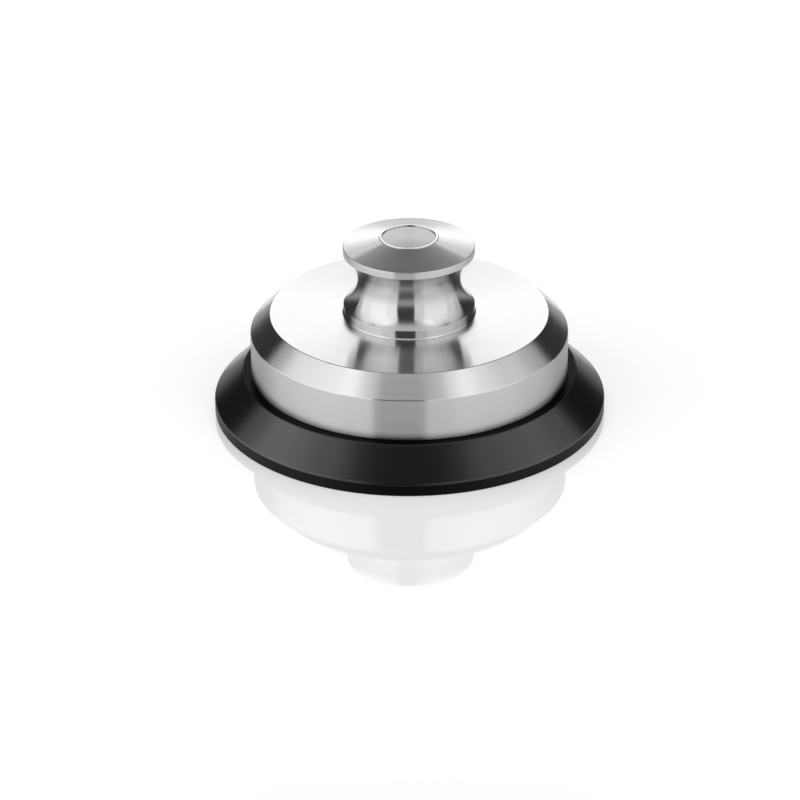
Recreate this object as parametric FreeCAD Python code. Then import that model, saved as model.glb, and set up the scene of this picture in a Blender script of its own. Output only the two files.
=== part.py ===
import FreeCAD, Part
import math
import os

from FreeCAD import Vector

# Record weight for a turntable spindle, built up from the face that lies on the record.
# Millimetres. The origin is the centre of that face and +Z runs up the spindle.

# Base plate, turned from black acetal
base_land_width = 2.6           # flat ring left showing round the disc
base_slope_run = 6.95           # how far the slope runs out
base_height = 10.4
base_rim_height = 3.25
base_edge_break = 0.3
base_crest_break = 0.5          # between the land and the slope
relief_depth = 0.8              # keeps the middle of the underside off the label
relief_margin = 1.6             # from the screw heads out to the relief's wall

# Weight disc, turned from stainless bar
disc_diameter = 80.9
disc_thickness = 16.0
disc_chamfer = 5.0
disc_foot_break = 0.25
edge_break = 0.15               # every other turned edge of the metal

# Register that centres the disc on the base
seat_width = 3.4                # face of the disc that bears on the base
register_height = 1.5
register_clearance = 0.1
register_floor_gap = 0.2

# Knob, turned from stainless bar
knob_diameter = 33.4
knob_foot_height = 2.3
knob_ledge_width = 0.3          # how far the foot flares out where it meets the disc
knob_ledge_height = 0.3
knob_ledge_break = 0.05
knob_shoulder_round = 0.5       # between the foot and the cove
knob_cove_height = 14.2
knob_cove_depth = 3.6
knob_rim_height = 1.85
knob_crown_angle = 13.6         # degrees below level

# Badge pressed into the crown
badge_diameter = 14.9
badge_thickness = 0.9
badge_lip_width = 0.6
badge_lip_height = 0.16
badge_lip_bevel = 0.2           # on each side of the lip
badge_clearance = 0.05

# Spindle bush
spindle_bore_diameter = 7.4     # over a 7.2 spindle
spindle_bore_depth = 17.2
bush_lead_in = 0.8
bush_wall = 2.3
bush_cap = 1.2
bush_flange_width = 2.2
bush_flange_thickness = 1.4
bush_clearance = 0.05

# Stud that holds the knob down
stud_diameter = 6.0
stud_length = 16.0
stud_chamfer = 0.6
stud_socket_flats = 3.0
stud_socket_depth = 3.5
stud_end_gap = 0.5

# Countersunk screws that hold the base on
screw_count = 3
screw_circle_diameter = 50.0
screw_diameter = 4.0
screw_length = 16.0
screw_head_diameter = 8.0
screw_socket_flats = 2.5
screw_socket_depth = 1.6
screw_sink = 0.1                # the heads lie this far below the relief
screw_head_clearance = 0.1
screw_hole_clearance = 0.2
screw_end_gap = 1.5

thread_clearance = 0.03         # threads are plain cylinders at their outside diameter

# Heights worked out from the sizes above
disc_foot_z = base_height
disc_top_z = disc_foot_z + disc_thickness
knob_foot_z = disc_top_z
cove_foot_z = knob_foot_z + knob_foot_height
cove_top_z = cove_foot_z + knob_cove_height
crown_edge_z = cove_top_z + knob_rim_height
bush_face_z = relief_depth
bore_end_z = bush_face_z + spindle_bore_depth
bush_top_z = bore_end_z + bush_cap
stud_foot_z = bush_top_z + stud_end_gap
stud_top_z = stud_foot_z + stud_length
register_floor_z = base_height - register_height - register_floor_gap
screw_head_z = relief_depth + screw_sink

# Radii worked out from the sizes above
disc_radius = disc_diameter / 2
land_radius = disc_radius + base_land_width
base_radius = land_radius + base_slope_run
spigot_radius = disc_radius - seat_width
knob_radius = knob_diameter / 2
waist_radius = knob_radius - knob_cove_depth
badge_radius = badge_diameter / 2
pocket_radius = badge_radius + badge_clearance
bore_radius = spindle_bore_diameter / 2
bush_radius = bore_radius + bush_wall
bush_flange_radius = bush_radius + bush_flange_width
stud_radius = stud_diameter / 2
screw_radius = screw_diameter / 2
screw_head_radius = screw_head_diameter / 2
relief_radius = screw_circle_diameter / 2 + screw_head_radius + relief_margin

# The crown rises from its edge to the badge, whose field lies level with the pocket's mouth
crown_slope = math.tan(math.radians(knob_crown_angle))
badge_field_z = crown_edge_z + (knob_radius - pocket_radius) * crown_slope
badge_floor_z = badge_field_z - badge_thickness


def along(start, end, distance):
    """The point at a distance from start, on the way to end."""
    span = math.dist(start, end)
    share = distance / span
    return (start[0] + (end[0] - start[0]) * share, start[1] + (end[1] - start[1]) * share)


def eased(before, corner, after, width):
    """The two points that take a corner off, width back along each of its sides."""
    return [along(corner, before, width), along(corner, after, width)]


def turned(outline):
    """Solid of revolution about Z from an outline of (radius, height) points.

    A pair of points inside the outline is an arc: through the first, to the second.
    """
    edges = []
    start = outline[0]
    here = Vector(start[0], 0, start[1])
    for step in outline[1:] + [start]:
        if isinstance(step[0], tuple):
            middle, end = (Vector(radius, 0, height) for radius, height in step)
            edges.append(Part.Arc(here, middle, end).toShape())
        else:
            end = Vector(step[0], 0, step[1])
            edges.append(Part.LineSegment(here, end).toShape())
        here = end
    face = Part.Face(Part.Wire(edges))
    return face.revolve(Vector(0, 0, 0), Vector(0, 0, 1), 360)


def rings_at(shape, place):
    """Circular edges of a turned shape at a (radius, height)."""
    rings = []
    for edge in shape.Edges:
        if isinstance(edge.Curve, Part.Circle):
            found = (edge.Curve.Radius, edge.Curve.Center.z)
            if math.dist(found, place) < 0.001 and edge.Curve.Axis.z != 0:
                rings.append(edge)
    return rings


def hex_socket(flats, floor_z, mouth_z):
    """Hexagonal prism on the axis, to cut a socket with."""
    corner_radius = flats / math.sqrt(3)
    corners = []
    for index in range(7):
        angle = math.radians(60 * index)
        corners.append(Vector(corner_radius * math.cos(angle), corner_radius * math.sin(angle), floor_z))
    face = Part.Face(Part.makePolygon(corners))
    return face.extrude(Vector(0, 0, mouth_z - floor_z))


def screw_places():
    """Centres of the base screws on their circle."""
    places = []
    for index in range(screw_count):
        angle = math.radians(360 / screw_count * index + 90)
        radius = screw_circle_diameter / 2
        places.append(Vector(radius * math.cos(angle), radius * math.sin(angle), 0))
    return places


def at_screws(shape):
    """Copies of a shape that was made on the axis, one at each screw."""
    copies = []
    for place in screw_places():
        copy = shape.copy()
        copy.translate(place)
        copies.append(copy)
    return copies


def make_base_plate():
    """Acetal plate: vertical rim, slope, land round the disc, register recess and bush seat."""
    recess_radius = spigot_radius + register_clearance
    hole_radius = bush_radius + bush_clearance
    seat_radius = bush_flange_radius + bush_clearance
    seat_z = bush_face_z + bush_flange_thickness
    rim_foot = (base_radius, 0)
    rim_top = (base_radius, base_rim_height)
    land_edge = (land_radius, base_height)
    outline = [(relief_radius, 0)]
    outline += eased(outline[0], rim_foot, rim_top, base_edge_break)
    outline += eased(rim_foot, rim_top, land_edge, base_edge_break)
    outline += eased(rim_top, land_edge, (recess_radius, base_height), base_crest_break)
    outline += [(recess_radius, base_height)]
    outline += [(recess_radius, register_floor_z)]
    outline += [(hole_radius, register_floor_z)]
    outline += [(hole_radius, seat_z)]
    outline += [(seat_radius, seat_z)]
    outline += [(seat_radius, relief_depth)]
    outline += [(relief_radius, relief_depth)]
    return turned(outline).cut(Part.makeCompound(at_screws(make_screw_clearance())))


def make_screw_clearance():
    """What one screw takes out of the base: a 90 degree countersink and a through hole."""
    hole_radius = screw_radius + screw_hole_clearance
    cone_top_z = screw_head_z + screw_head_radius + screw_head_clearance - hole_radius
    outline = [(0, 0)]
    outline += [(hole_radius + cone_top_z, 0)]
    outline += [(hole_radius, cone_top_z)]
    outline += [(hole_radius, base_height)]
    outline += [(0, base_height)]
    return turned(outline)


def make_weight_disc():
    """Stainless disc: wide chamfer, register spigot below, bush bore and knob thread on the axis."""
    spigot_z = disc_foot_z - register_height
    bore_wall = bush_radius + bush_clearance
    bore_top_z = bush_top_z + bush_clearance
    thread_wall = stud_radius + thread_clearance
    chamfer_foot = (disc_radius, disc_top_z - disc_chamfer)
    chamfer_top = (disc_radius - disc_chamfer, disc_top_z)
    foot = (disc_radius, disc_foot_z)
    seat_edge = (spigot_radius, disc_foot_z)
    spigot_edge = (spigot_radius, spigot_z)
    thread_mouth = (thread_wall, disc_top_z)
    outline = eased(chamfer_top, thread_mouth, (thread_wall, bore_top_z), stud_chamfer)
    outline += [(thread_wall, bore_top_z)]
    outline += [(bore_wall, bore_top_z)]
    outline += [(bore_wall, spigot_z)]
    outline += eased(outline[-1], spigot_edge, seat_edge, edge_break)
    outline += [seat_edge]
    outline += eased(seat_edge, foot, chamfer_foot, disc_foot_break)
    outline += eased(foot, chamfer_foot, chamfer_top, edge_break)
    outline += eased(chamfer_foot, chamfer_top, thread_mouth, edge_break)
    return turned(outline).cut(Part.makeCompound(at_screws(make_disc_thread())))


def make_disc_thread():
    """Blind hole that one base screw runs into, with its drill point."""
    radius = screw_radius + thread_clearance
    foot_z = disc_foot_z - register_height
    end_z = screw_head_z + screw_length + screw_end_gap
    point_z = end_z + radius / math.sqrt(3)
    return turned([(0, foot_z), (radius, foot_z), (radius, end_z), (0, point_z)])


def make_knob():
    """Stainless finger knob: flared foot, cove, rim and shallow conical crown with the badge's pocket."""
    thread_wall = stud_radius + thread_clearance
    hole_top_z = stud_top_z + stud_end_gap
    hole_mouth = (thread_wall, knob_foot_z)
    foot = (knob_radius + knob_ledge_width, knob_foot_z)
    ledge_top = (knob_radius, knob_foot_z + knob_ledge_height)
    cove_foot = (knob_radius, cove_foot_z)
    waist = (waist_radius, cove_foot_z + knob_cove_height / 2)
    cove_top = (knob_radius, cove_top_z)
    crown_edge = (knob_radius, crown_edge_z)
    crown_mouth = (pocket_radius, badge_field_z)
    outline = [(0, hole_top_z + thread_wall / math.sqrt(3))]
    outline += [(thread_wall, hole_top_z)]
    outline += eased((thread_wall, hole_top_z), hole_mouth, foot, stud_chamfer)
    outline += eased(hole_mouth, foot, ledge_top, knob_ledge_break)
    outline += [ledge_top]
    outline += [cove_foot]
    outline += [(waist, cove_top)]
    outline += eased(cove_top, crown_edge, crown_mouth, edge_break)
    outline += [crown_mouth]
    outline += [(pocket_radius, badge_floor_z)]
    outline += [(0, badge_floor_z)]
    knob = turned(outline)
    return knob.makeFillet(knob_shoulder_round, rings_at(knob, cove_foot))


def make_badge():
    """Plain round badge with a raised lip, and nothing written on it."""
    lip_top_z = badge_field_z + badge_lip_height
    field_radius = badge_radius - badge_lip_width
    outline = [(0, badge_floor_z)]
    outline += [(badge_radius, badge_floor_z)]
    outline += [(badge_radius, badge_field_z)]
    outline += [(badge_radius - badge_lip_bevel, lip_top_z)]
    outline += [(field_radius + badge_lip_bevel, lip_top_z)]
    outline += [(field_radius, badge_field_z)]
    outline += [(0, badge_field_z)]
    return turned(outline)


def make_spindle_bush():
    """Blind flanged bush that keeps the metal off the spindle."""
    flange_top_z = bush_face_z + bush_flange_thickness
    outline = [(0, bore_end_z)]
    outline += [(bore_radius, bore_end_z)]
    outline += [(bore_radius, bush_face_z + bush_lead_in)]
    outline += [(bore_radius + bush_lead_in, bush_face_z)]
    outline += [(bush_flange_radius, bush_face_z)]
    outline += [(bush_flange_radius, flange_top_z)]
    outline += [(bush_radius, flange_top_z)]
    outline += [(bush_radius, bush_top_z)]
    outline += [(0, bush_top_z)]
    return turned(outline)


def make_knob_stud():
    """Headless stud, half in the disc and half in the knob, with a hexagon socket in its lower end."""
    outline = [(0, stud_foot_z)]
    outline += [(stud_radius - stud_chamfer, stud_foot_z)]
    outline += [(stud_radius, stud_foot_z + stud_chamfer)]
    outline += [(stud_radius, stud_top_z - stud_chamfer)]
    outline += [(stud_radius - stud_chamfer, stud_top_z)]
    outline += [(0, stud_top_z)]
    return turned(outline).cut(hex_socket(stud_socket_flats, stud_foot_z, stud_foot_z + stud_socket_depth))


def make_base_screws():
    """Socket screws with countersunk heads, as one group."""
    tip_z = screw_head_z + screw_length
    outline = [(0, screw_head_z)]
    outline += [(screw_head_radius, screw_head_z)]
    outline += [(screw_radius, screw_head_z + screw_head_radius - screw_radius)]
    outline += [(screw_radius, tip_z)]
    outline += [(0, tip_z)]
    socket = hex_socket(screw_socket_flats, screw_head_z, screw_head_z + screw_socket_depth)
    return Part.makeCompound(at_screws(turned(outline).cut(socket)))


def main():
    nodes = {
        "base_plate": make_base_plate(),
        "weight_disc": make_weight_disc(),
        "knob": make_knob(),
        "badge": make_badge(),
        "spindle_bush": make_spindle_bush(),
        "knob_stud": make_knob_stud(),
        "base_screws": make_base_screws(),
    }
    os.makedirs("parts", exist_ok=True)
    for name, shape in nodes.items():
        if not shape.isValid():
            raise ValueError(name + " is not a valid solid")
        shape.exportStep("parts/" + name + ".step")
        print(name, len(shape.Solids), "solid(s)", round(shape.Volume), "cubic mm")


main()
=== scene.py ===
import math

import bmesh
import bpy
from bpy.props import FloatProperty, FloatVectorProperty, IntProperty, PointerProperty
from mathutils import Matrix, Vector


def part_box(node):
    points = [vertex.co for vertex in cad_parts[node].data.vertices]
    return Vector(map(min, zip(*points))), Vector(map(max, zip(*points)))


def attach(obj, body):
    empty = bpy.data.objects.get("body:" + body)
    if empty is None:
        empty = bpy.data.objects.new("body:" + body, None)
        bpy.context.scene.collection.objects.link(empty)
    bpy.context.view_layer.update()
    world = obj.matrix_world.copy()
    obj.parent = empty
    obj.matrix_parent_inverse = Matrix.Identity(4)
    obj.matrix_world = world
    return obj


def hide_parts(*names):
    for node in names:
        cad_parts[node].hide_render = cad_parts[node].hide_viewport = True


bl_info = {
    "name": "Record Weight",
    "version": (1, 0, 0),
    "blender": (4, 5, 0),
    "location": "View3D > Sidebar > Record Weight",
    "description": "Turned steel record weight on a black base, in a small photo studio",
    "category": "Object",
}

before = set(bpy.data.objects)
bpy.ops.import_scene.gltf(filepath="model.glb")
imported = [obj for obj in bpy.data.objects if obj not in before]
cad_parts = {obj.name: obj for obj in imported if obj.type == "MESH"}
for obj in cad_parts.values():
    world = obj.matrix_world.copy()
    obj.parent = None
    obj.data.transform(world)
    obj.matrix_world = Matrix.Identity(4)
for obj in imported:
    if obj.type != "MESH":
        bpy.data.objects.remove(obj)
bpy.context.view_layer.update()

MM = 0.001
NEAR = 0.002 * MM               # two places closer than this are the same place
WELD = NEAR / 10                # vertices closer than this become one
SHARP = math.radians(28)        # an edge that turns more than this stays crisp
ARC_STEP = 0.42 * MM            # length of the flat steps along an arc of an outline
ROUND_STEPS = 4                 # steps across a rounded corner
SCREW_STEPS = 96                # flat steps round a screw


def linear(code):
    """Linear colour from an sRGB hex code."""
    shares = [int(code[place:place + 2], 16) / 255 for place in (0, 2, 4)]
    return [
        share / 12.92 if share <= 0.04045 else ((share + 0.055) / 1.055) ** 2.4
        for share in shares]


def node_box(node):
    """(outer radius, lowest height, highest height) of a turned CAD node."""
    low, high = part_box(node)
    return high.x, low.z, high.z


LEDGE_RADIUS, KNOB_FOOT, _ = node_box("knob")
BADGE_RADIUS, BADGE_FLOOR, BADGE_TOP = node_box("badge")
DISC_RADIUS, SPIGOT_FOOT, DISC_TOP = node_box("weight_disc")
BASE_RADIUS, BASE_FOOT, BASE_TOP = node_box("base_plate")
BUSH_RADIUS, BUSH_FOOT, BUSH_TOP = node_box("spindle_bush")


# Settings

def size(name, description, millimetres):
    """Property for a length, written in millimetres and kept in metres."""
    return FloatProperty(
        name=name, description=description, default=millimetres * MM, min=0.0, unit="LENGTH",
        precision=5)


def colour(name, description, code):
    """Property for a colour, written as an sRGB hex code."""
    return FloatVectorProperty(
        name=name, description=description, default=linear(code), size=3, min=0.0, max=1.0,
        subtype="COLOR")


def amount(name, description, default, top=1.0):
    """Property for a plain number."""
    return FloatProperty(name=name, description=description, default=default, min=0.0, max=top)


def light(name, description, default):
    """Property for a lamp's brightness, where 1 is white."""
    return amount(name, description, default, top=10.0)


def turn(name, description, degrees):
    """Property for an angle, written in degrees."""
    return FloatProperty(
        name=name, description=description, default=math.radians(degrees), subtype="ANGLE")


class KnobSettings(bpy.types.PropertyGroup):
    """Sizes of the finger knob and the badge in its crown"""
    foot_height: size("Foot height", "Straight band at the knob's foot", 2.3)
    ledge_width: size("Ledge width", "How far the foot flares out where it meets the disc", 0.3)
    ledge_height: size("Ledge height", "Height of that flare", 0.3)
    shoulder_radius: size("Shoulder radius", "Rounding between the foot and the cove", 0.1)
    cove_height: size("Cove height", "Height of the hollow that the fingers close on", 14.2)
    cove_depth: size("Cove depth", "Depth of that hollow at the waist", 3.6)
    rim_height: size("Rim height", "Straight band under the crown", 1.85)
    crown_angle: turn("Crown angle", "Fall of the crown below level", 13.6)
    rim_round: size("Rim rounding", "Rounding of the crown's edge", 0.15)
    lip_width: size("Lip width", "Width of the badge's raised lip", 0.6)
    lip_height: size("Lip height", "How far the lip stands over the crown", 0.16)
    field_depth: size("Field depth", "How far the field's edge lies under the crown", 0.1)
    field_rise: size("Field rise", "How far the field rises from its edge to its middle", 0.24)
    badge_gap: size("Badge gap", "Clearance round the badge in its pocket", 0.05)


class DiscSettings(bpy.types.PropertyGroup):
    """Sizes of the steel disc"""
    chamfer: size("Chamfer", "Width and height of the sloped edge", 5.0)
    edge_round: size("Edge rounding", "Rounding of the chamfer's and the spigot's edges", 0.15)
    foot_round: size("Foot rounding", "Rounding of the lower edge", 0.25)
    seat_width: size("Seat width", "Width of the ring that bears on the base", 3.4)
    bore: size("Bore", "Diameter of the hole for the bush", 12.1)


class BaseSettings(bpy.types.PropertyGroup):
    """Sizes of the black base"""
    land_width: size("Land width", "Flat ring left showing round the disc", 2.2)
    rim_height: size("Rim height", "Straight band at the outer edge", 3.25)
    rim_round: size("Rim rounding", "Rounding of the rim's two edges", 0.3)
    crest_round: size("Crest rounding", "Rounding between the slope and the land", 0.2)
    relief_diameter: size("Relief diameter", "Diameter of the hollow under the base", 61.2)
    recess_depth: size("Recess depth", "Depth of the recess for the disc's spigot", 1.7)
    recess_gap: size("Recess gap", "Clearance round the spigot", 0.1)


class SmallPartSettings(bpy.types.PropertyGroup):
    """Sizes of the bush and the screws under the base"""
    relief_depth: size("Relief depth", "Depth of the hollow under the base", 0.8)
    spindle_bore: size("Spindle bore", "Diameter of the hole for the record spindle", 7.4)
    spindle_depth: size("Spindle depth", "Depth of that hole", 17.2)
    lead_in: size("Lead-in", "Chamfer at the mouth of the hole", 0.8)
    bush_diameter: size("Bush diameter", "Outside of the bush above its flange", 12.0)
    bush_gap: size("Bush gap", "Clearance round the bush", 0.05)
    flange_thickness: size("Flange thickness", "Thickness of the bush's flange", 1.4)
    screw_circle: size("Screw circle", "Diameter of the circle that the screws lie on", 50.0)
    screw_head: size("Screw head", "Diameter of a screw's head", 8.0)
    screw_shank: size("Screw shank", "Diameter of a screw's shank", 4.0)
    screw_length: size("Screw length", "Length of a screw over all", 16.0)
    screw_sink: size("Screw sink", "How far the heads lie inside the hollow's floor", 0.1)
    socket_flats: size("Socket", "Width across the flats of a screw's socket", 2.5)
    socket_depth: size("Socket depth", "Depth of a screw's socket", 1.6)
    head_gap: size("Head gap", "Clearance round a screw's head", 0.1)
    hole_gap: size("Hole gap", "Clearance round a screw's shank in the base", 0.2)
    screw_round: size("Screw rounding", "Rounding of the screw's edges", 0.12)
    screws: IntProperty(name="Screws", description="Number of screws", default=3, min=1)


class FinishSettings(bpy.types.PropertyGroup):
    """Colours and surface of each material"""
    steel: colour("Steel", "Turned stainless steel", "D4D4D3")
    steel_roughness: amount("Steel roughness", "Blur of the reflections in the turned steel", 0.17)
    side_roughness: amount("Side roughness", "Blur of the reflections in the disc's side", 0.25)
    steel_grain: amount(
        "Steel grain", "How much longer the blur is across the tool marks than along them", 1.0)
    acetal: colour("Acetal", "Black acetal of the base and the bush", "060607")
    sheen: colour("Acetal sheen", "Cool tint of the reflections in the acetal", "F5F7FD")
    acetal_roughness: amount("Acetal roughness", "Blur of the reflections in the acetal", 0.21)
    field: colour("Badge field", "Anodised field of the badge", "A6A6A7")
    lip: colour("Badge lip", "Bright edge of the badge", "E6E5E2")
    screw: colour("Screw", "Stainless steel of the screws", "BEBDBA")
    # A fine finishing cut leaves marks about 0.05 mm apart. A pixel of the picture is 0.26 mm wide,
    # so they wouldn't show, and they are drawn 0.36 mm apart.
    mark_pitch: size("Mark pitch", "Spacing at which the tool marks are drawn", 0.36)
    smoothness: IntProperty(
        name="Steps round", description="Flat steps round a turned piece", default=288)


class StudioSettings(bpy.types.PropertyGroup):
    """Lamps, floor and camera"""
    left_brightness: light("Left box", "Brightness of the left soft box", 1.16)
    left_key: light("Left key", "Brightness of a lamp in front of the left box", 0.2)
    right_brightness: light("Right box", "Brightness of the right soft box", 0.84)
    right_key: light("Right key", "Brightness of a lamp in front of the right box", 0.28)
    spill: light("Spill", "Brightness of the cloth behind each soft box", 0.58)
    back_brightness: light("Back panel", "Brightness of the panel behind the weight", 1.47)
    wall_brightness: light("Back wall", "Brightness of the wall over the back panel", 0.2)
    ceiling_brightness: light("Ceiling", "Brightness of the panel overhead", 0.66)
    room: amount("Room", "Brightness of the dim room between the lamps", 0.032)
    floor: colour("Floor", "White floor", "EDEDED")
    floor_glow: amount(
        "Floor glow", "Brightness added to the floor for the camera and for reflections", 0.18)
    floor_white: amount(
        "Floor white", "Further brightness added to the floor for the camera alone", 0.17)
    floor_near: size("Near floor", "How far out the floor keeps that brightness", 110)
    floor_far: size(
        "Far floor", "How far from the weight the floor has faded to white for the camera", 450)
    camera_rise: turn("Camera rise", "How far the camera looks down", 27.23)
    camera_roll: turn("Camera roll", "How far the camera leans", -0.3)
    camera_distance: size("Camera distance", "Distance from the camera to the weight", 900)
    aim_height: size("Aim height", "Height that the camera looks at", 0.88)
    lens: FloatProperty(name="Lens", description="Focal length in millimetres", default=157.36)
    shift: FloatProperty(
        name="Shift", description="Sideways shift of the picture", default=-0.01206)


class RecordWeightSettings(bpy.types.PropertyGroup):
    """Everything that can be set on the record weight"""
    knob: PointerProperty(type=KnobSettings)
    disc: PointerProperty(type=DiscSettings)
    base: PointerProperty(type=BaseSettings)
    small: PointerProperty(type=SmallPartSettings)
    finish: PointerProperty(type=FinishSettings)
    studio: PointerProperty(type=StudioSettings)


# Turned shapes

def arc_to(bm, start, end, bulge):
    """Draws an arc, hollow for a bulge towards the axis, and returns its two end points."""
    chord = end - start
    radius = (bulge ** 2 + (chord.length / 2) ** 2) / (2 * bulge)
    outwards = Vector((chord.z, 0.0, -chord.x)).normalized()
    centre = start + chord / 2 + outwards * (radius - bulge)
    angle = 2 * math.asin(chord.length / 2 / radius)
    steps = max(2 * ROUND_STEPS, round(angle * radius / ARC_STEP))
    first = bm.verts.new(start)
    made = bmesh.ops.spin(
        bm, geom=[first], cent=centre, axis=(0.0, 1.0, 0.0), angle=angle, steps=steps,
        use_duplicate=False)
    return first, made["geom_last"][0]


def ring(bm, radius, height):
    """Edges that run round the axis at a radius and a height."""
    def there(vert):
        return abs(vert.co.xy.length - radius) < NEAR and abs(vert.co.z - height) < NEAR
    return [edge for edge in bm.edges if there(edge.verts[0]) and there(edge.verts[1])]


def corner_parts(corner):
    """Radius, height, rounding and bulge of a corner, which may leave out the last two."""
    return (*corner, 0.0, 0.0)[:4]


def turned(outline, steps):
    """Turned solid from (radius, height, rounding, bulge) corners, as a bmesh.

    The outline starts and ends on the axis or closes on itself. A corner's rounding is how far
    back along its sides it is rounded off, and its bulge makes the line that leads to it an arc.
    """
    bm = bmesh.new()
    start = last = None
    for corner in outline:
        radius, height, _, bulge = corner_parts(corner)
        here = Vector((radius, 0.0, height))
        if bulge:
            first, vert = arc_to(bm, last.co.copy(), here, bulge)
            bmesh.ops.pointmerge(bm, verts=[first, last], merge_co=last.co)
        else:
            vert = bm.verts.new(here)
            if last:
                bm.edges.new((last, vert))
        start = start or vert
        last = vert
    off_the_axis = outline[0][0] > NEAR
    if off_the_axis:
        bm.edges.new((last, start))
    geometry = bm.verts[:] + bm.edges[:]
    bmesh.ops.spin(
        bm, geom=geometry, cent=(0.0, 0.0, 0.0), axis=(0.0, 0.0, 1.0), angle=math.tau,
        steps=steps, use_merge=True, use_duplicate=False)
    bmesh.ops.remove_doubles(bm, verts=bm.verts, dist=WELD)
    for corner in outline:
        radius, height, rounding, _ = corner_parts(corner)
        if rounding:
            bmesh.ops.bevel(
                bm, geom=ring(bm, radius, height), offset=rounding, offset_type="OFFSET",
                affect="EDGES", segments=ROUND_STEPS, profile=0.5, material=-1)
    bmesh.ops.recalc_face_normals(bm, faces=bm.faces)
    return bm


def mesh_object(bm, name, materials=()):
    """Object in the scene with the shape of a bmesh, which is used up."""
    mesh = bpy.data.meshes.new(name)
    bm.to_mesh(mesh)
    bm.free()
    for material in materials:
        mesh.materials.append(material)
    made = bpy.data.objects.new(name, mesh)
    bpy.context.collection.objects.link(made)
    return made


def finish_piece(bm, name, materials, node):
    """Makes a bmesh an object, smooth between its crisp edges, that stands for a CAD node."""
    for face in bm.faces:
        face.smooth = True
    for edge in bm.edges:
        if len(edge.link_faces) == 2 and edge.calc_face_angle() > SHARP:
            edge.smooth = False
    piece = mesh_object(bm, name, materials)
    shading = piece.modifiers.new("Even shading", "WEIGHTED_NORMAL")
    shading.keep_sharp = True
    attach(piece, "root")
    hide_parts(node)


def sagitta(start, end, radius):
    """How far an arc of a radius bulges from the line between two (radius, height) places."""
    return radius - math.sqrt(radius ** 2 - math.dist(start, end) ** 2 / 4)


def sagitta_of_cap(radius, rise):
    """How far the half outline of a dome bulges, for the dome's radius and rise."""
    sphere = (radius ** 2 + rise ** 2) / (2 * rise)
    return sagitta((0.0, rise), (radius, 0.0), sphere)


def knob_outline(knob):
    """Flared foot, cove, rim and crown, down to the pocket that holds the badge."""
    knob_radius = LEDGE_RADIUS - knob.ledge_width
    pocket_radius = BADGE_RADIUS + knob.badge_gap
    cove_foot = KNOB_FOOT + knob.foot_height
    cove_top = cove_foot + knob.cove_height
    crown_edge = cove_top + knob.rim_height
    crown_mouth = crown_edge + (knob_radius - pocket_radius) * math.tan(knob.crown_angle)

    # The cove is one arc. The shoulder under it is another, which the foot and the cove run into.
    cove_radius = (knob.cove_depth ** 2 + knob.cove_height ** 2 / 4) / (2 * knob.cove_depth)
    waist = cove_foot + knob.cove_height / 2
    cove_centre = Vector((knob_radius - knob.cove_depth + cove_radius, waist))
    reach = cove_radius + knob.shoulder_radius
    in_from_foot = knob_radius - knob.shoulder_radius
    shoulder_foot = cove_centre.y - math.sqrt(reach ** 2 - (cove_centre.x - in_from_foot) ** 2)
    shoulder_centre = Vector((in_from_foot, shoulder_foot))
    to_cove = (cove_centre - shoulder_centre).normalized()
    shoulder_top = shoulder_centre + to_cove * knob.shoulder_radius
    shoulder_bulge = sagitta((knob_radius, shoulder_foot), shoulder_top, knob.shoulder_radius)
    cove_bulge = sagitta(shoulder_top, (knob_radius, cove_top), cove_radius)
    return [
        (0.0, KNOB_FOOT),
        (LEDGE_RADIUS, KNOB_FOOT),
        (knob_radius, KNOB_FOOT + knob.ledge_height),
        (knob_radius, shoulder_foot),
        (shoulder_top.x, shoulder_top.y, 0.0, -shoulder_bulge),
        (knob_radius, cove_top, 0.0, cove_bulge),
        (knob_radius, crown_edge, knob.rim_round),
        (pocket_radius, crown_mouth),
        (pocket_radius, BADGE_FLOOR),
        (0.0, BADGE_FLOOR),
    ]


def badge_outline(knob):
    """Slightly domed field, rounded lip and wall of the badge."""
    mouth = BADGE_TOP - knob.lip_height
    field_radius = BADGE_RADIUS - knob.lip_width
    field = mouth - knob.field_depth
    return [
        (0.0, BADGE_FLOOR),
        (BADGE_RADIUS, BADGE_FLOOR),
        (BADGE_RADIUS, BADGE_TOP, knob.lip_height),
        (field_radius, BADGE_TOP, knob.lip_height),
        (field_radius, field),
        (0.0, field + knob.field_rise, 0.0, -sagitta_of_cap(field_radius, knob.field_rise)),
    ]


def disc_outline(disc):
    """Side, wide chamfer and flat top, with the spigot and the bush's bore below."""
    seat = BASE_TOP
    spigot = DISC_RADIUS - disc.seat_width
    bore = disc.bore / 2
    return [
        (0.0, BUSH_TOP),
        (bore, BUSH_TOP),
        (bore, SPIGOT_FOOT),
        (spigot, SPIGOT_FOOT, disc.edge_round),
        (spigot, seat),
        (DISC_RADIUS, seat, disc.foot_round),
        (DISC_RADIUS, DISC_TOP - disc.chamfer, disc.edge_round),
        (DISC_RADIUS - disc.chamfer, DISC_TOP, disc.edge_round),
        (0.0, DISC_TOP),
    ]


def base_outline(disc, base, small):
    """Rim, slope and land of the base, the recess for the disc and the bush's seat."""
    land = DISC_RADIUS + base.land_width
    recess = DISC_RADIUS - disc.seat_width + base.recess_gap
    floor = BASE_TOP - base.recess_depth
    hole = disc.bore / 2
    relief = BASE_FOOT + small.relief_depth
    seat = relief + small.flange_thickness
    return [
        (base.relief_diameter / 2, BASE_FOOT),
        (BASE_RADIUS, BASE_FOOT, base.rim_round),
        (BASE_RADIUS, base.rim_height, base.rim_round),
        (land, BASE_TOP, base.crest_round),
        (recess, BASE_TOP),
        (recess, floor),
        (hole, floor),
        (hole, seat),
        (BUSH_RADIUS + small.bush_gap, seat),
        (BUSH_RADIUS + small.bush_gap, relief),
        (base.relief_diameter / 2, relief),
    ]


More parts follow.
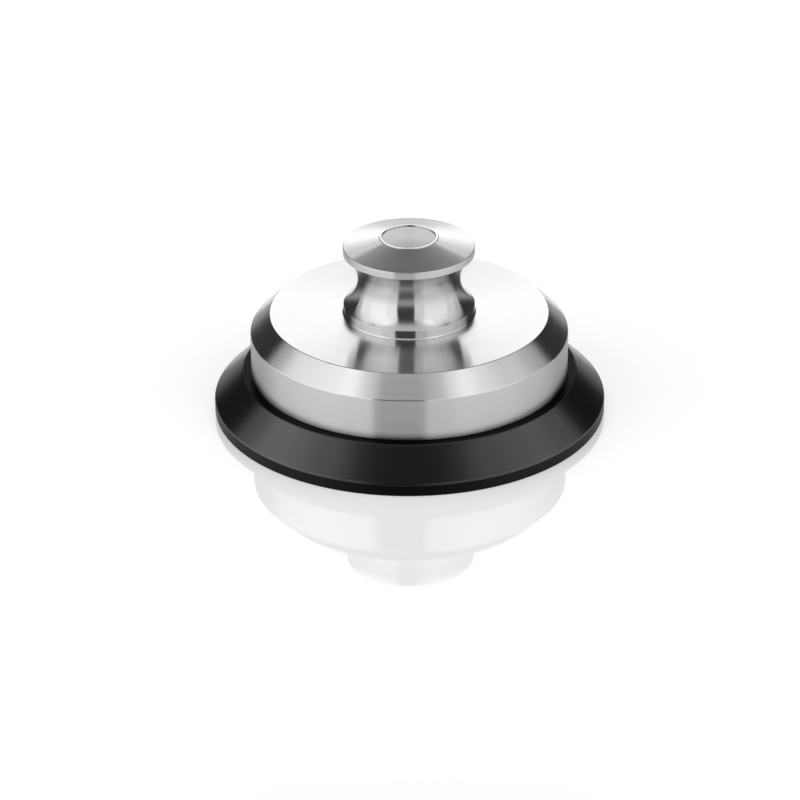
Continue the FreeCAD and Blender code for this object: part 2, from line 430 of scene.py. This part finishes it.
def bush_outline(small):
    """Flange, sleeve and blind bore of the bush."""
    bore = small.spindle_bore / 2
    sleeve = small.bush_diameter / 2
    return [
        (0.0, BUSH_FOOT + small.spindle_depth),
        (bore, BUSH_FOOT + small.spindle_depth),
        (bore, BUSH_FOOT + small.lead_in),
        (bore + small.lead_in, BUSH_FOOT),
        (BUSH_RADIUS, BUSH_FOOT),
        (BUSH_RADIUS, BUSH_FOOT + small.flange_thickness),
        (sleeve, BUSH_FOOT + small.flange_thickness),
        (sleeve, BUSH_TOP),
        (0.0, BUSH_TOP),
    ]


def screw_face(small):
    """Height of the face of a screw's head."""
    return BASE_FOOT + small.relief_depth + small.screw_sink


def screw_outline(small):
    """Countersunk head and shank of one screw, on the axis."""
    head = small.screw_head / 2
    shank = small.screw_shank / 2
    face = screw_face(small)
    return [
        (0.0, face),
        (head, face, small.screw_round),
        (shank, face + head - shank),
        (shank, face + small.screw_length, small.screw_round),
        (0.0, face + small.screw_length),
    ]


def countersink_outline(small):
    """What one screw takes out of the base, on the axis: a 90 degree cone and a through hole."""
    hole = small.screw_shank / 2 + small.hole_gap
    rim = small.relief_depth + small.screw_sink + small.screw_head / 2 + small.head_gap
    return [
        (0.0, BASE_FOOT),
        (rim, BASE_FOOT),
        (hole, BASE_FOOT + rim - hole),
        (hole, BASE_TOP),
        (0.0, BASE_TOP),
    ]


def hexagon_socket(small):
    """Hexagonal prism on the axis, centred on a screw's face, to cut the socket with."""
    corner_radius = small.socket_flats / math.sqrt(3)
    bm = bmesh.new()
    made = bmesh.ops.create_cone(
        bm, cap_ends=True, segments=6, radius1=corner_radius, radius2=corner_radius,
        depth=2 * small.socket_depth)
    bmesh.ops.translate(bm, verts=made["verts"], vec=(0.0, 0.0, screw_face(small)))
    return bm


def only_verts(parts):
    """The vertices among some parts of a bmesh."""
    return [part for part in parts if isinstance(part, bmesh.types.BMVert)]


def at_screws(bm, small):
    """Copies a shape from the axis to each screw's place, and leaves nothing on the axis."""
    shape = bm.verts[:] + bm.edges[:] + bm.faces[:]
    for index in range(small.screws):
        angle = math.tau * index / small.screws
        made = bmesh.ops.duplicate(bm, geom=shape)
        outwards = Vector((-math.sin(angle), math.cos(angle), 0.0))
        bmesh.ops.translate(
            bm, verts=only_verts(made["geom"]), vec=outwards * small.screw_circle / 2)
    bmesh.ops.delete(bm, geom=only_verts(shape), context="VERTS")
    return bm


def cut(bm, cutter):
    """The first shape less the second, as a new bmesh. Both are used up."""
    body = mesh_object(bm, "body")
    tool = mesh_object(cutter, "tool")
    boolean = body.modifiers.new("Cut", "BOOLEAN")
    boolean.operation = "DIFFERENCE"
    boolean.object = tool
    result = bmesh.new()
    result.from_object(body, bpy.context.evaluated_depsgraph_get())
    for shape in (body, tool):
        mesh = shape.data
        bpy.data.objects.remove(shape)
        bpy.data.meshes.remove(mesh)
    return result


# Materials

NOISE_LOW, NOISE_HIGH = 0.3, 0.7    # nearly all of a noise lies between these
QUARTER_TURN = 0.25                 # lays the long blur across the tool marks
MARK_DEPTH = 0.004 * MM             # depth of a tool mark
SCREW_GRAIN = 0.6 * MM              # width of the grain on a screw

# How often a streak of the tool marks changes on its way round
STEEL_STREAKS = 2.5
ACETAL_STREAKS = 2.0
BADGE_STREAKS = 4.0

# Roughness, from the smoothest streak to the roughest, or how far the streaks stray from the mean
STEEL_STRAY = 0.02
ACETAL_STRAY = 0.01
FIELD_ROUGHNESS = 0.22, 0.3
LIP_ROUGHNESS = 0.14, 0.22
SCREW_ROUGHNESS = 0.28, 0.4

# Gloss of the acetal, head on and aslant, where 0.5 is that of a smooth face
SLOPE_GLOSS = 0.26, 1.32
EDGE_GLOSS = 0.7, 1.4
# Painted shade: the rim's gloss is kept low, so it mirrors little of the lit floor
RIM_PAINTED_SHADE_GLOSS = 0.0, 0.2
# Painted shade: the land has almost no gloss, so it stays black like the shaded gap round the disc
LAND_PAINTED_SHADE_GLOSS = 0.02, 0.02

# Facing is 0 where a surface is seen straight on: these are 18 and 39 degrees
HEAD_ON, ASLANT = 0.05, 0.22

# How much rougher the acetal is on these faces than on the slope
EDGE_ROUGHER = 0.05
DULL_ROUGHER = 0.1

MADE = {}                           # names of the materials made so far, by their function


def add_node(tree, kind, settings=None, inputs=None):
    """Adds a node with its settings, and gives each input a value or another node's output."""
    node = tree.nodes.new(kind)
    for name, value in (settings or {}).items():
        setattr(node, name, value)
    for name, value in (inputs or {}).items():
        if isinstance(value, bpy.types.NodeSocket):
            tree.links.new(value, node.inputs[name])
        else:
            node.inputs[name].default_value = value
    return node


def new_material(name):
    """Material with an empty node tree."""
    material = bpy.data.materials.new(name)
    material.use_nodes = True
    material.node_tree.nodes.clear()
    return material, material.node_tree


def close_material(tree, shader):
    """Puts a shader on the surface."""
    add_node(tree, "ShaderNodeOutputMaterial", None, {"Surface": shader.outputs[0]})


def lathe_marks(tree, pitch, streaks):
    """Fine streaks that run round the axis, and the direction in which the tool ran.

    The streaks come from a noise that is read by direction round the axis, where it hardly
    changes, and by radius less height, which grows down every face that shows.
    """
    place = add_node(tree, "ShaderNodeTexCoord").outputs["Object"]
    level = add_node(
        tree, "ShaderNodeVectorMath", {"operation": "MULTIPLY"}, {0: place, 1: (1, 1, 0)})
    radius = add_node(
        tree, "ShaderNodeVectorMath", {"operation": "LENGTH"}, {0: level.outputs[0]})
    out = add_node(
        tree, "ShaderNodeVectorMath", {"operation": "NORMALIZE"}, {0: level.outputs[0]})
    height = add_node(tree, "ShaderNodeSeparateXYZ", None, {0: place}).outputs["Z"]
    down = add_node(
        tree, "ShaderNodeMath", {"operation": "SUBTRACT"}, {0: radius.outputs["Value"], 1: height})
    marks_down = add_node(
        tree, "ShaderNodeMath", {"operation": "DIVIDE"}, {0: down.outputs[0], 1: pitch})
    across = add_node(tree, "ShaderNodeCombineXYZ", None, {"Z": marks_down.outputs[0]})
    where = add_node(
        tree, "ShaderNodeVectorMath", {"operation": "MULTIPLY_ADD"},
        {0: out.outputs[0], 1: (streaks, streaks, 0), 2: across.outputs[0]})
    noise = add_node(
        tree, "ShaderNodeTexNoise", None,
        {"Vector": where.outputs[0], "Scale": 1.0, "Detail": 2.0, "Roughness": 0.6})
    around = add_node(
        tree, "ShaderNodeVectorMath", {"operation": "CROSS_PRODUCT"},
        {0: (0, 0, 1), 1: level.outputs[0]})
    tangent = add_node(
        tree, "ShaderNodeVectorTransform",
        {"vector_type": "VECTOR", "convert_from": "OBJECT", "convert_to": "WORLD"},
        {0: around.outputs[0]})
    return noise.outputs[0], tangent.outputs[0]


def spread(tree, noise, low, high):
    """Stretches a noise over the range from low to high."""
    return add_node(tree, "ShaderNodeMapRange", None, {
        "Value": noise, "From Min": NOISE_LOW, "From Max": NOISE_HIGH,
        "To Min": low, "To Max": high}).outputs[0]


def stainless(finish, name, roughness):
    """Stainless steel whose reflections smear across the tool marks and stay sharp along them."""
    material, tree = new_material(name)
    marks, tangent = lathe_marks(tree, finish.mark_pitch, STEEL_STREAKS)
    bump = add_node(
        tree, "ShaderNodeBump", None,
        {"Strength": 0.06, "Distance": MARK_DEPTH, "Height": marks})
    shader = add_node(tree, "ShaderNodeBsdfPrincipled", None, {
        "Base Color": (*finish.steel, 1.0), "Metallic": 1.0,
        "Roughness": spread(tree, marks, roughness - STEEL_STRAY, roughness + STEEL_STRAY),
        "Anisotropic": finish.steel_grain, "Anisotropic Rotation": QUARTER_TURN,
        "Tangent": tangent, "Normal": bump.outputs[0]})
    close_material(tree, shader)
    return material


def turned_stainless(finish):
    """Stainless steel, turned: wide streaks of light that run out from the axis."""
    return stainless(finish, "Stainless steel, turned", finish.steel_roughness)


def satin_stainless(finish):
    """Stainless steel, satin turned: an even, soft grey that stays light low on the disc's side."""
    return stainless(finish, "Stainless steel, satin turned", finish.side_roughness)


def acetal(finish, name, roughness, gloss):
    """Black acetal with the tool's marks in its gloss.

    The fine furrows scatter light that meets them head on, and mirror it more the flatter it
    comes in, so the gloss grows from the first of its two levels to the second.
    """
    material, tree = new_material(name)
    marks, tangent = lathe_marks(tree, finish.mark_pitch, ACETAL_STREAKS)
    head_on, aslant = gloss
    level = aslant
    if head_on < aslant:
        facing = add_node(tree, "ShaderNodeLayerWeight", None, {"Blend": 0.5}).outputs["Facing"]
        level = add_node(tree, "ShaderNodeMapRange", None, {
            "Value": facing, "From Min": HEAD_ON, "From Max": ASLANT,
            "To Min": head_on, "To Max": aslant}).outputs[0]
    shader = add_node(tree, "ShaderNodeBsdfPrincipled", None, {
        "Base Color": (*finish.acetal, 1.0),
        "Roughness": spread(tree, marks, roughness - ACETAL_STRAY, roughness + ACETAL_STRAY),
        "IOR": 1.48, "Specular IOR Level": level, "Specular Tint": (*finish.sheen, 1.0),
        "Anisotropic": 0.2, "Anisotropic Rotation": QUARTER_TURN, "Tangent": tangent})
    close_material(tree, shader)
    return material


def turned_acetal(finish):
    """Acetal, fine turned: deep black seen straight on, with a soft, wide sheen to the sides."""
    return acetal(finish, "Acetal, fine turned", finish.acetal_roughness, SLOPE_GLOSS)


def burnished_acetal(finish):
    """Acetal, burnished by the tool: the edge over the rim shines brighter than the slope."""
    roughness = finish.acetal_roughness + EDGE_ROUGHER
    return acetal(finish, "Acetal, burnished", roughness, EDGE_GLOSS)


def dull_painted_shade_acetal(finish):
    """Acetal, rougher and nearly without gloss: painted shade, so that the rim mirrors little of
    the floor and stays as dark as the shaded floor at its foot.
    """
    roughness = finish.acetal_roughness + DULL_ROUGHER
    return acetal(finish, "Acetal, dull, painted shade", roughness, RIM_PAINTED_SHADE_GLOSS)


def matt_painted_shade_acetal(finish):
    """Acetal with painted shade: with almost no gloss the ring round the disc stays black and
    mirrors none of the steel, as the shaded gap between the disc and the slope would.
    """
    roughness = finish.acetal_roughness + DULL_ROUGHER
    return acetal(finish, "Acetal, matt, painted shade", roughness, LAND_PAINTED_SHADE_GLOSS)


def anodised_field(finish):
    """Aluminium, finely turned and anodised: a satin grey with a soft fan of light across it."""
    material, tree = new_material("Aluminium, anodised")
    marks, tangent = lathe_marks(tree, finish.mark_pitch / 2, BADGE_STREAKS)
    shader = add_node(tree, "ShaderNodeBsdfPrincipled", None, {
        "Base Color": (*finish.field, 1.0), "Metallic": 1.0,
        "Roughness": spread(tree, marks, *FIELD_ROUGHNESS),
        "Anisotropic": 0.5, "Anisotropic Rotation": QUARTER_TURN, "Tangent": tangent})
    close_material(tree, shader)
    return material


def diamond_cut_lip(finish):
    """Aluminium, cut bright: a thin mirror edge round the badge."""
    material, tree = new_material("Aluminium, diamond cut")
    marks, _ = lathe_marks(tree, finish.mark_pitch / 2, BADGE_STREAKS)
    shader = add_node(tree, "ShaderNodeBsdfPrincipled", None, {
        "Base Color": (*finish.lip, 1.0), "Metallic": 1.0,
        "Roughness": spread(tree, marks, *LIP_ROUGHNESS)})
    close_material(tree, shader)
    return material


def formed_stainless(finish):
    """Stainless steel, cold formed: the plain dull grey of a screw, with a faint grain."""
    material, tree = new_material("Stainless steel, cold formed")
    place = add_node(tree, "ShaderNodeTexCoord").outputs["Object"]
    grain = add_node(
        tree, "ShaderNodeTexNoise", None,
        {"Vector": place, "Scale": 1 / SCREW_GRAIN, "Detail": 3.0})
    shader = add_node(tree, "ShaderNodeBsdfPrincipled", None, {
        "Base Color": (*finish.screw, 1.0), "Metallic": 1.0,
        "Roughness": spread(tree, grain.outputs[0], *SCREW_ROUGHNESS)})
    close_material(tree, shader)
    return material


def material_from(make, finish):
    """The material that a function makes, made only once."""
    material = bpy.data.materials.get(MADE.get(make, ""))
    if material is None:
        material = make(finish)
        MADE[make] = material.name
    return material


def dress(bm, finish, makers, choose):
    """Gives each face the material chosen for it, and returns all of them in order."""
    for face in bm.faces:
        face.material_index = makers.index(choose(face))
    return [material_from(make, finish) for make in makers]


# How far the normal of a face rises, from 0 on an upright face to 1 on a level one
SIDE_RISE = 0.3         # the disc's side has less, either way
RIM_RISE = 0.05         # the base's rim and underside have less
EDGE_RISE = 0.68        # the rounded edge over the rim has less, and the slope more
LAND_RISE = 0.98        # the base's level faces have more


def base_finish(face):
    """Which acetal a face of the base has."""
    rise = face.normal.z
    # Rim and underside take acetal with painted shade: their gloss is kept low
    if rise < RIM_RISE:
        return dull_painted_shade_acetal
    # Level faces take acetal with painted shade: almost no gloss
    if rise > LAND_RISE:
        return matt_painted_shade_acetal
    if rise < EDGE_RISE:
        return burnished_acetal
    return turned_acetal


# Studio

FLOOR_HALF = 4.0                # metres from the middle of the floor to its edge
FLOOR_DROP = 0.02 * MM          # keeps the floor clear of the face that stands on it
OVERHEAD = 1.9, 1.0             # width and depth of the panel overhead, in metres
OVERHEAD_PLACE = Vector((0.0, -0.4, 1.4))
DOWN = Vector((0.0, 0.0, -1.0))
WHITE = (1.0, 1.0, 1.0, 1.0)


def surroundings(chosen):
    """World: white to the camera, and a dim room to everything else."""
    world = bpy.data.worlds.new("Studio")
    world.use_nodes = True
    tree = world.node_tree
    tree.nodes.clear()
    ray = add_node(tree, "ShaderNodeLightPath")
    seen = add_node(tree, "ShaderNodeMix", {"data_type": "FLOAT"}, {
        "Factor": ray.outputs["Is Camera Ray"], "A": chosen.room, "B": 1.0})
    background = add_node(
        tree, "ShaderNodeBackground", None, {"Color": WHITE, "Strength": seen.outputs[0]})
    add_node(tree, "ShaderNodeOutputWorld", None, {"Surface": background.outputs[0]})
    bpy.context.scene.world = world


def glossy_acrylic(chosen):
    """Acrylic sheet, white and glossy: keeps the shadow and a faint mirror image of the weight.

    It glows a little where the camera or a reflection sees it. For the camera the glow grows
    with the distance from the weight, so that the floor is plain white out to its edge. An index
    of 1.9, over acrylic's own 1.49, gives the mirror image the strength that the photograph shows.
    """
    material, tree = new_material("Acrylic sheet, white and glossy")
    surface = add_node(tree, "ShaderNodeBsdfPrincipled", None, {
        "Base Color": (*chosen.floor, 1.0), "Roughness": 0.04, "IOR": 1.9})
    place = add_node(tree, "ShaderNodeTexCoord").outputs["Object"]
    away = add_node(tree, "ShaderNodeVectorMath", {"operation": "LENGTH"}, {0: place})
    to_camera = add_node(tree, "ShaderNodeMapRange", None, {
        "Value": away.outputs["Value"],
        "From Min": chosen.floor_near, "From Max": chosen.floor_far,
        "To Min": chosen.floor_glow + chosen.floor_white, "To Max": 1.0})
    ray = add_node(tree, "ShaderNodeLightPath")
    in_mirrors = add_node(tree, "ShaderNodeMath", {"operation": "MULTIPLY"}, {
        0: ray.outputs["Is Glossy Ray"], 1: chosen.floor_glow})
    strength = add_node(tree, "ShaderNodeMath", {"operation": "MULTIPLY_ADD"}, {
        0: ray.outputs["Is Camera Ray"], 1: to_camera.outputs[0], 2: in_mirrors.outputs[0]})
    glow = add_node(tree, "ShaderNodeEmission", None, {"Strength": strength.outputs[0]})
    both = add_node(
        tree, "ShaderNodeAddShader", None, {0: surface.outputs[0], 1: glow.outputs[0]})
    close_material(tree, both)
    return material


def white_floor(chosen):
    """Flat floor just under the weight."""
    bm = bmesh.new()
    bmesh.ops.create_grid(bm, x_segments=1, y_segments=1, size=FLOOR_HALF)
    bmesh.ops.translate(bm, vec=(0.0, 0.0, -FLOOR_DROP), verts=bm.verts)
    floor = mesh_object(bm, "studio_floor", [glossy_acrylic(chosen)])


def stand(place, facing):
    """Matrix that puts a lamp or a camera at a place and faces it a way."""
    return Matrix.Translation(place) @ (-facing).to_track_quat("Z", "Y").to_matrix().to_4x4()


def soft_panel(name, brightness, width, height, place, facing):
    """Evenly glowing rectangle, at a place and facing a way, that the camera doesn't see."""
    lamp = bpy.data.lights.new(name, "AREA")
    lamp.shape = "RECTANGLE"
    lamp.size = width
    lamp.size_y = height
    lamp.energy = brightness * math.pi * width * height
    panel = bpy.data.objects.new(name, lamp)
    panel.matrix_world = stand(place, facing)
    panel.visible_camera = False
    bpy.context.collection.objects.link(panel)


def standing_panel(name, brightness, degrees, distance, width, foot, top):
    """Upright lamp, some degrees round to the right of the camera, that faces the weight."""
    around = math.radians(degrees)
    out = Vector((math.sin(around), -math.cos(around), 0.0))
    middle = Vector((0.0, 0.0, (foot + top) / 2))
    soft_panel(name, brightness, width, top - foot, out * distance + middle, -out)


def lamps(chosen):
    """A soft box, a key lamp and a cloth on each side, and panels behind and overhead."""
    standing = (
        # name, brightness, degrees round, then in metres: distance, width, foot and top
        ("Left soft box", chosen.left_brightness, -66.5, 1.0, 1.77, 0.0, 1.55),
        ("Left key lamp", chosen.left_key, -66.0, 0.99, 0.65, 0.05, 1.45),
        ("Left cloth", chosen.spill, -113.5, 1.0, 0.2, 0.0, 1.55),
        ("Right soft box", chosen.right_brightness, 57.5, 1.0, 2.1, 0.0, 1.55),
        ("Right key lamp", chosen.right_key, 57.0, 0.99, 0.95, 0.05, 1.55),
        ("Right cloth", chosen.spill, 110.5, 1.0, 0.24, 0.0, 1.55),
        ("Back panel", chosen.back_brightness, 180.0, 1.2, 0.73, 0.09, 0.9),
        ("Back wall", chosen.wall_brightness, 180.0, 1.25, 1.6, 0.9, 1.8),
    )
    for panel in standing:
        standing_panel(*panel)
    soft_panel("Ceiling panel", chosen.ceiling_brightness, *OVERHEAD, OVERHEAD_PLACE, DOWN)


def photo_camera(chosen):
    """Camera at the photograph's place."""
    rise = chosen.camera_rise
    ahead = Vector((0.0, math.cos(rise), -math.sin(rise)))
    data = bpy.data.cameras.new("Camera")
    data.lens = chosen.lens
    data.shift_x = chosen.shift
    camera = bpy.data.objects.new("Camera", data)
    place = Vector((0.0, 0.0, chosen.aim_height)) - ahead * chosen.camera_distance
    lean = Matrix.Rotation(chosen.camera_roll, 4, "Z")
    camera.matrix_world = stand(place, ahead) @ lean
    bpy.context.collection.objects.link(camera)
    bpy.context.scene.camera = camera


# Operators

class PieceOperator:
    """What the operators share"""
    bl_options = {"REGISTER", "UNDO"}

    def settings(self, context):
        return context.scene.record_weight


class RECORDWEIGHT_OT_base(PieceOperator, bpy.types.Operator):
    """Turn the black base"""
    bl_idname = "record_weight.base"
    bl_label = "Base"

    def execute(self, context):
        chosen = self.settings(context)
        small = chosen.small
        plate = turned(base_outline(chosen.disc, chosen.base, small), chosen.finish.smoothness)
        countersinks = at_screws(turned(countersink_outline(small), SCREW_STEPS), small)
        bm = cut(plate, countersinks)
        bm.normal_update()
        makers = (turned_acetal, dull_painted_shade_acetal, matt_painted_shade_acetal, burnished_acetal)
        materials = dress(bm, chosen.finish, makers, base_finish)
        finish_piece(bm, "black_base", materials, "base_plate")
        return {"FINISHED"}


class RECORDWEIGHT_OT_bush(PieceOperator, bpy.types.Operator):
    """Turn the bush that runs on the record spindle"""
    bl_idname = "record_weight.bush"
    bl_label = "Bush"

    def execute(self, context):
        chosen = self.settings(context)
        bm = turned(bush_outline(chosen.small), chosen.finish.smoothness)
        fine = material_from(turned_acetal, chosen.finish)
        finish_piece(bm, "centre_bush", [fine], "spindle_bush")
        return {"FINISHED"}


class RECORDWEIGHT_OT_disc(PieceOperator, bpy.types.Operator):
    """Turn the steel disc"""
    bl_idname = "record_weight.disc"
    bl_label = "Disc"

    def execute(self, context):
        chosen = self.settings(context)
        bm = turned(disc_outline(chosen.disc), chosen.finish.smoothness)
        inner = DISC_RADIUS - chosen.disc.edge_round

        def disc_finish(face):
            outside = face.calc_center_median().xy.length > inner
            upright = abs(face.normal.z) < SIDE_RISE
            return satin_stainless if outside and upright else turned_stainless

        makers = (turned_stainless, satin_stainless)
        materials = dress(bm, chosen.finish, makers, disc_finish)
        finish_piece(bm, "steel_disc", materials, "weight_disc")
        return {"FINISHED"}


class RECORDWEIGHT_OT_knob(PieceOperator, bpy.types.Operator):
    """Turn the finger knob"""
    bl_idname = "record_weight.knob"
    bl_label = "Knob"

    def execute(self, context):
        chosen = self.settings(context)
        bm = turned(knob_outline(chosen.knob), chosen.finish.smoothness)
        steel = material_from(turned_stainless, chosen.finish)
        finish_piece(bm, "finger_knob", [steel], "knob")
        return {"FINISHED"}


class RECORDWEIGHT_OT_badge(PieceOperator, bpy.types.Operator):
    """Make the plain badge, with nothing on its field"""
    bl_idname = "record_weight.badge"
    bl_label = "Badge"

    def execute(self, context):
        chosen = self.settings(context)
        bm = turned(badge_outline(chosen.knob), chosen.finish.smoothness)
        inner = BADGE_RADIUS - chosen.knob.lip_width - NEAR

        def badge_finish(face):
            in_field = face.calc_center_median().xy.length <= inner
            return anodised_field if in_field else diamond_cut_lip

        makers = (anodised_field, diamond_cut_lip)
        materials = dress(bm, chosen.finish, makers, badge_finish)
        finish_piece(bm, "crown_badge", materials, "badge")
        return {"FINISHED"}


class RECORDWEIGHT_OT_screws(PieceOperator, bpy.types.Operator):
    """Make the socket screws that hold the base on"""
    bl_idname = "record_weight.screws"
    bl_label = "Screws"

    def execute(self, context):
        chosen = self.settings(context)
        small = chosen.small
        screw = cut(turned(screw_outline(small), SCREW_STEPS), hexagon_socket(small))
        steel = material_from(formed_stainless, chosen.finish)
        finish_piece(
            at_screws(screw, small), "base_socket_screws", [steel], "base_screws")
        # The stud stays the CAD's own and only takes the screws' steel
        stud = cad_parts["knob_stud"]
        stud.data.materials.clear()
        stud.data.materials.append(steel)
        return {"FINISHED"}


class RECORDWEIGHT_OT_studio(PieceOperator, bpy.types.Operator):
    """Set up the floor, the lamps and the camera"""
    bl_idname = "record_weight.studio"
    bl_label = "Studio"

    def execute(self, context):
        chosen = self.settings(context).studio
        surroundings(chosen)
        white_floor(chosen)
        lamps(chosen)
        photo_camera(chosen)
        context.scene.view_settings.view_transform = "Standard"
        return {"FINISHED"}


OPERATORS = (
    RECORDWEIGHT_OT_base,
    RECORDWEIGHT_OT_bush,
    RECORDWEIGHT_OT_disc,
    RECORDWEIGHT_OT_knob,
    RECORDWEIGHT_OT_badge,
    RECORDWEIGHT_OT_screws,
    RECORDWEIGHT_OT_studio,
)


class RECORDWEIGHT_PT_panel(bpy.types.Panel):
    """Makes the record weight piece by piece"""
    bl_idname = "RECORDWEIGHT_PT_panel"
    bl_label = "Record Weight"
    bl_space_type = "VIEW_3D"
    bl_region_type = "UI"
    bl_category = "Record Weight"

    def draw(self, context):
        for operator in OPERATORS:
            self.layout.operator(operator.bl_idname)


CLASSES = (
    KnobSettings,
    DiscSettings,
    BaseSettings,
    SmallPartSettings,
    FinishSettings,
    StudioSettings,
    RecordWeightSettings,
    *OPERATORS,
    RECORDWEIGHT_PT_panel,
)


def register():
    for part in CLASSES:
        bpy.utils.register_class(part)
    bpy.types.Scene.record_weight = PointerProperty(type=RecordWeightSettings)


def unregister():
    del bpy.types.Scene.record_weight
    for part in reversed(CLASSES):
        bpy.utils.unregister_class(part)


def main():
    register()
    for operator in OPERATORS:
        group, name = operator.bl_idname.split(".")
        getattr(getattr(bpy.ops, group), name)()


if __name__ == "__main__":
    main()
